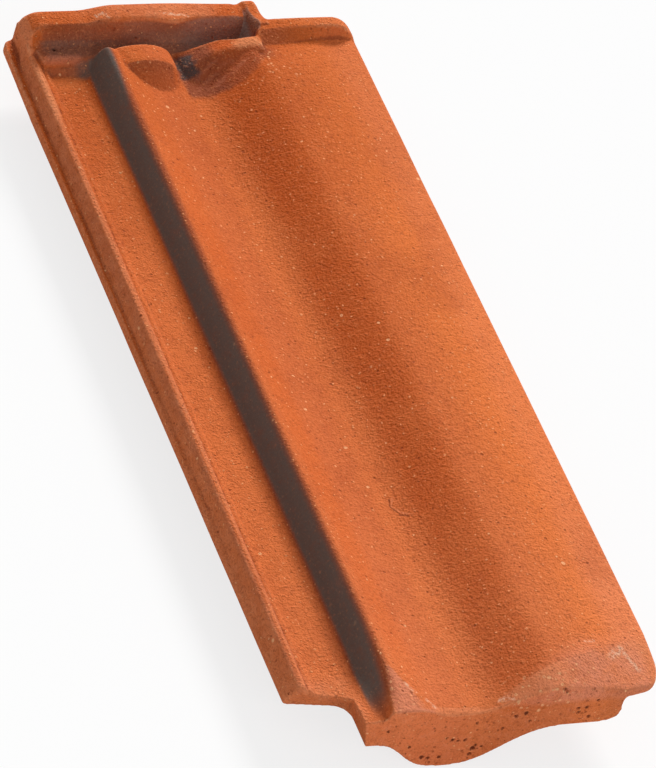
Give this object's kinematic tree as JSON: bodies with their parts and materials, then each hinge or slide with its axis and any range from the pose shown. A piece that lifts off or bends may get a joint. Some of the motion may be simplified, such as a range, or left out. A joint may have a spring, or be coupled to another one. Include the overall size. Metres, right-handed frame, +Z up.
{
  "type": "clay roof tile",
  "caption": "Narrow interlocking clay pan tile with a side-lock flange, S-shaped pan, head rib, nosed tail and batten nibs.",
  "frame": {"origin": "centre of the bounding box's base, the level of the nib feet and of the nose's belly that the tile lies on", "axes": "+Z up, +Y up the roof slope from the tail to the head, +X from the side-lock flange to the covering roll"},
  "size_m": [0.145, 0.396, 0.043],
  "materials": {
    "fired_clay": "matt unglazed orange-red fired clay with a fine sandy grain"
  },
  "bodies": {
    "root": {"tile_body": "fired_clay"}
  },
  "joints": []
}
